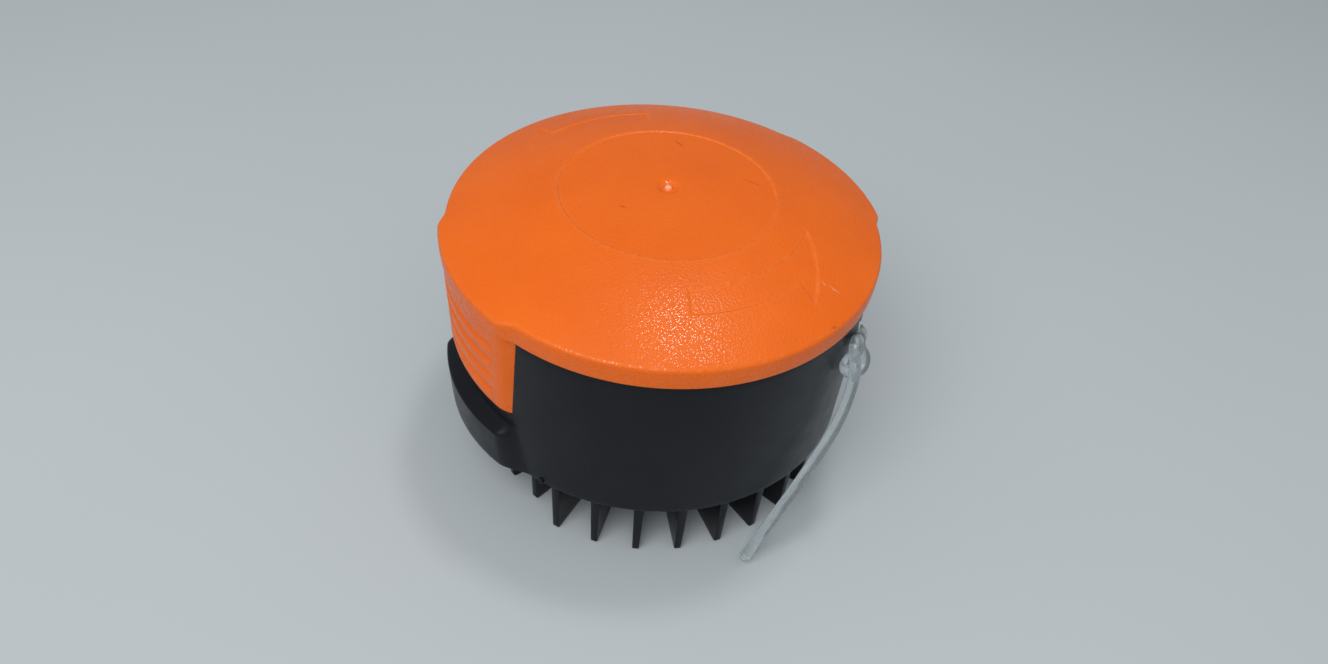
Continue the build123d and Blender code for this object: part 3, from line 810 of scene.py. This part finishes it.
def window_angle(z):
    """Half angle of a tab's window at a height."""
    share = (z - WINDOW_FOOT_Z) / (SEAT_Z - WINDOW_FOOT_Z)
    return WINDOW_FOOT_ANGLE + (WINDOW_TOP_ANGLE - WINDOW_FOOT_ANGLE) * share


def cup_wall(cup):
    """Wall of the cup: a full ring up to the windows' sills, then two arcs between the windows whose columns
    lean with the windows' sides, with sills, window sides and a rounded top edge. Returns the ring's
    angles and its lowest points outside and inside."""
    over_window, over_arc = crowded(65), crowded(161)
    sill_half = window_angle(WINDOW_FOOT_Z)
    window = sill_half * over_window
    arc = 90 + (90 - sill_half) * over_arc
    ring = np.concatenate([window[:-1], arc[:-1], 180 + window[:-1], 180 + arc[:-1]])
    edge_rows = WALL_EDGE * (1 - np.cos(np.radians(np.array([0, 22, 45, 68, 90]))))
    low = np.concatenate([FOOT_Z + edge_rows, (18.4, 20.0, 22.0, 24.0, 25.4), np.arange(26.0, 29.9, 0.2),
                          (30.6, 31.8, WINDOW_FOOT_Z)])
    outside = around(outer_skin(ring[None, :], low[:, None]), ring[None, :], low[:, None])
    cup.sheet(outside, closed=True)
    inner_rows = np.array([WINDOW_FOOT_Z, 29.0, 24.0, 20.3, 19.7, FLOOR_Z])[:, None]
    ease = np.array([0, 0, 0, 0, 0.25, 0.8])[:, None]
    inside = around(wall_radius(inner_rows) - WALL_THICKNESS - ease, ring[None, :], inner_rows)
    cup.sheet(inside, closed=True)
    for start in (0, 180):
        sill = around(outer_skin(start + window, WINDOW_FOOT_Z), start + window, WINDOW_FOOT_Z)
        lining = around(wall_radius(WINDOW_FOOT_Z) - WALL_THICKNESS, start + window, WINDOW_FOOT_Z)
        cup.sheet(np.stack([sill, lining]))
        rows = np.concatenate([(WINDOW_FOOT_Z, 35.0), np.arange(37.0, 53.5, 1.5),
                               WALL_TOP_Z - edge_rows[::-1]])
        drop = np.clip(WALL_EDGE - (WALL_TOP_Z - rows), 0, WALL_EDGE)
        inset = (WALL_EDGE - np.sqrt(WALL_EDGE**2 - drop**2))[:, None]
        half = window_angle(rows)[:, None]
        columns = start + 90 + (90 - half) * over_arc[None, :]
        skin = wall_radius(rows[:, None])
        face = around(skin - inset, columns, rows[:, None])
        lined = around(skin - WALL_THICKNESS + inset, columns, rows[:, None])
        face[0] = around(outer_skin(columns[0], WINDOW_FOOT_Z), columns[0], WINDOW_FOOT_Z)
        cup.sheet(np.concatenate([face, lined[::-1]]))
        for side in (0, -1):
            cup.sheet(np.stack([face[:, side], lined[:, side]]))
    return ring, outside[0], inside[-1]


def cup_floor(cup, ring, foot, lining):
    """Floor and hub: sheets that run in from the wall's foot and from its lining to the hub, whose mouth
    below and post above are profiles turned about Z."""
    shares = np.array([0.0, 0.3, 0.6, 0.9, 0.985, 1.0])[:, None, None]
    hub_edge = around(HUB_RADIUS, ring, FOOT_Z)
    cup.sheet(foot[None] * (1 - shares) + hub_edge[None] * shares, closed=True)
    mouth = np.array([
        (HUB_RADIUS, FOOT_Z), (HUB_RADIUS - 0.3, 8.0), (HUB_RADIUS - 0.4, 3.5), (HUB_RADIUS - 0.55, 3.15),
        (HUB_RADIUS - 0.9, HUB_FOOT_Z), (BUSH_RADIUS, HUB_FOOT_Z), (BUSH_RADIUS, BUSH_TOP_Z),
        (LID_RING_RADIUS, BUSH_TOP_Z),
    ])
    grid = around(mouth[:, :1], ring[None, :], mouth[:, 1:])
    cup.sheet(grid, closed=True)
    cup.lid(grid[-1], (0, 0, BUSH_TOP_Z))
    shoulder_foot = around(HUB_RADIUS + 0.6, ring, FLOOR_Z)
    cup.sheet(lining[None] * (1 - shares) + shoulder_foot[None] * shares, closed=True)
    post = np.array([
        (HUB_RADIUS + 0.6, FLOOR_Z), (HUB_RADIUS + 0.15, FLOOR_Z + 0.2), (HUB_RADIUS, FLOOR_Z + 0.7),
        (HUB_RADIUS, SHOULDER_Z - 0.3), (HUB_RADIUS - 0.3, SHOULDER_Z), (POST_RADIUS, SHOULDER_Z),
        (POST_RADIUS, POST_TOP_Z - 1.0), (POST_RADIUS - 0.3, POST_TOP_Z - 0.3),
        (POST_RADIUS - 1.0, POST_TOP_Z), (LID_RING_RADIUS, POST_TOP_Z),
    ])
    grid = around(post[:, :1], ring[None, :], post[:, 1:])
    cup.sheet(grid, closed=True)
    cup.lid(grid[-1], (0, 0, POST_TOP_Z))


def lever_post(fins):
    """Round post for the feed lever, rooted in the floor, its radius and height given row by row."""
    rows = np.array([(LEVER_POST_RADIUS, FLOOR_Z - 0.4), (LEVER_POST_RADIUS, LEVER_POST_TOP_Z - 0.3),
                     (LEVER_POST_RADIUS - 0.3, LEVER_POST_TOP_Z)])
    grid = around(rows[:, :1], np.linspace(0, 360, 40, endpoint=False)[None, :], rows[:, 1:])
    grid = grid + np.array([*LEVER_POST, 0.0])
    fins.sheet(grid, closed=True)
    fins.lid(grid[0], (*LEVER_POST, rows[0, 1]))
    fins.lid(grid[-1], (*LEVER_POST, rows[-1, 1]))


def fan_fin(fins, angle):
    """One drafted radial plate: its outline in radius and height, with rounds at both lower corners, carried
    across the thickness with eased edges; the thickness and length shrink downwards by the draft."""
    tip = FIN_TIP_RADIUS - (FIN_SETBACK if off_tab(angle) < LEDGE_HALF_ANGLE else 0.0)
    slope = tan(radians(FIN_DRAFT))
    bend = np.radians(np.linspace(0, -90, 9))
    corner_r = tip - FOOT_Z * slope - FIN_TIP_ROUND + FIN_TIP_ROUND * np.cos(bend)
    corner_z = FIN_TIP_ROUND + FIN_TIP_ROUND * np.sin(bend)
    inner = FIN_INNER_RADIUS + FOOT_Z * slope
    heel_bend = np.radians(np.linspace(-90, -180, 4))
    heel_r = inner + FIN_HEEL_ROUND + FIN_HEEL_ROUND * np.cos(heel_bend)
    heel_z = FIN_HEEL_ROUND + FIN_HEEL_ROUND * np.sin(heel_bend)
    middle_r, middle_z, root_z = (tip + inner) / 2, FOOT_Z / 2, FOOT_Z + FIN_SINK
    outline_r = np.concatenate([[tip, tip - middle_z * slope], corner_r, [middle_r], heel_r,
                                [FIN_INNER_RADIUS + middle_z * slope, FIN_INNER_RADIUS]])
    outline_z = np.concatenate([[root_z, middle_z], corner_z, [0.0], heel_z, [middle_z, root_z]])
    half = FIN_ROOT / 2 - (FOOT_Z - outline_z) * slope
    across = np.array([-1.0, -0.93, -0.75, 0.75, 0.93, 1.0])[:, None]
    inset = np.array([0.35, 0.1, 0.0, 0.0, 0.1, 0.35])[:, None]
    pull_r = np.clip(middle_r - outline_r, -1, 1) * inset
    pull_z = np.clip(middle_z - outline_z, -1, 1) * inset * (outline_z < FOOT_Z - 1)
    flat = np.stack(np.broadcast_arrays(outline_r + pull_r, across * half, outline_z + pull_z), -1)
    c, s = cos(radians(angle)), sin(radians(angle))
    grid = flat @ np.array([(c, s, 0), (-s, c, 0), (0, 0, 1)])
    fins.sheet(grid, closed=True)
    fins.lid(grid[0], grid[0].mean(0))
    fins.lid(grid[-1], grid[-1].mean(0))


def foot_pip(fins):
    """Small moulding pip at the foot of the wall, a slightly stretched ball set half into it."""
    rise = np.radians(np.linspace(-80, 80, 9))[:, None]
    turn = np.linspace(0, 360, 20, endpoint=False)[None, :]
    bead = around(PIP_RADIUS * np.cos(rise), turn, PIP_STRETCH * PIP_RADIUS * np.sin(rise))
    grid = bead + around(WALL_FOOT_RADIUS + PIP_PROUD, PIP_ANGLE, PIP_Z)
    fins.sheet(grid, closed=True)
    fins.lid(grid[0], grid[0].mean(0))
    fins.lid(grid[-1], grid[-1].mean(0))


def eyelet_hole():
    """Stepped round plug along the line exit's axis, cut out of the wall for the eyelet."""
    plug = spin([(0, HOLE_START), (SLEEVE_RADIUS, HOLE_START), (SLEEVE_RADIUS, LIP_SEAT),
                 (LIP_RADIUS, LIP_SEAT), (LIP_RADIUS, HOLE_END), (0, HOLE_END)], 64)
    turn = np.array(Matrix.Rotation(radians(EXIT_ANGLE), 3, "Z") @ Matrix.Rotation(pi / 2, 3, "Y"))
    plug.points = [points @ turn.T + np.array([0, 0, EXIT_Z]) for points in plug.points]
    return plug


def make_housing():
    """Cup with floor and hub, the line's exit cut through its wall, then fins, lever post and pip in a second
    mesh."""
    cup = Moulding()
    cup_floor(cup, *cup_wall(cup))
    piece = mould("housing_cup", cup)
    cut_out(piece, eyelet_hole())
    finish_piece(piece, BLACK, "housing", ("housing",))
    fins = Moulding()
    lever_post(fins)
    foot_pip(fins)
    for index in range(FIN_COUNT):
        fan_fin(fins, FIN_PHASE + index * 360 / FIN_COUNT)
    finish_piece(mould("fan_fins", fins), BLACK, "housing", ("housing",))


make_housing()


# Hidden works

def softened_copy(node, name, material, body, bevel):
    """Merged copy of a node with eased edges, shown in its place."""
    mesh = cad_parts[node].data.copy()
    mesh.name = name
    join_up(mesh, 30)
    piece = bpy.data.objects.new(name, mesh)
    bpy.context.collection.objects.link(piece)
    if bevel:
        ease = piece.modifiers.new("eased_edges", "BEVEL")
        ease.width = bevel * MM
        ease.segments = 2
        ease.limit_method = "ANGLE"
        ease.angle_limit = radians(35)
    finish_piece(piece, material, body, (node,))


def make_winding():
    """Wound line: turns side by side, a ridged ring whose ridges climb one pitch each time round."""
    angle = np.linspace(0, 360, 144, endpoint=False)
    low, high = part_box("line_winding")[0][2] / MM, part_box("line_winding")[1][2] / MM
    rows = np.linspace(low, high, 170)[:, None]
    pitch = 2 * LINE_RADIUS
    phase = ((rows - low) / pitch - angle[None, :] / 360) % 1 - 0.5
    ridge = np.sqrt(np.maximum(LINE_RADIUS**2 - (phase * pitch)**2, 0.02))
    skin = WINDING_RADIUS - LINE_RADIUS + ridge
    core = np.full((1, angle.size), REEL_CORE_RADIUS)
    radius = np.concatenate([core, skin, core])
    height = np.concatenate([rows[:1], rows, rows[-1:]])
    grid = around(radius, angle[None, :], height)
    turns = Moulding()
    turns.sheet(np.concatenate([grid, grid[:1]]), closed=True)
    finish_piece(mould("wound_line", turns, 60), NYLON, "spool", ("line_winding",))


make_winding()
softened_copy("reel", "feed_reel", REEL_GREY, "spool", 0.25)
softened_copy("feed_lever", "feed_lever_arm", REEL_GREY, "lever", 0.2)
softened_copy("drive_bush", "drive_bush_insert", STEEL, "housing", 0.15)
softened_copy("exit_eyelet", "line_eyelet", STEEL, "housing", 0.0)


def lay_floor():
    """Plain pale floor under the fins."""
    half, top = 3.0, cad_box[0][2]
    mesh = bpy.data.meshes.new("studio_floor")
    corners = [(-half, -half, top), (half, -half, top), (half, half, top), (-half, half, top)]
    mesh.from_pydata(corners, [], [(0, 1, 2, 3)])
    floor = bpy.data.objects.new("studio_floor", mesh)
    mesh.materials.append(pale_floor())
    bpy.context.collection.objects.link(floor)


lay_floor()
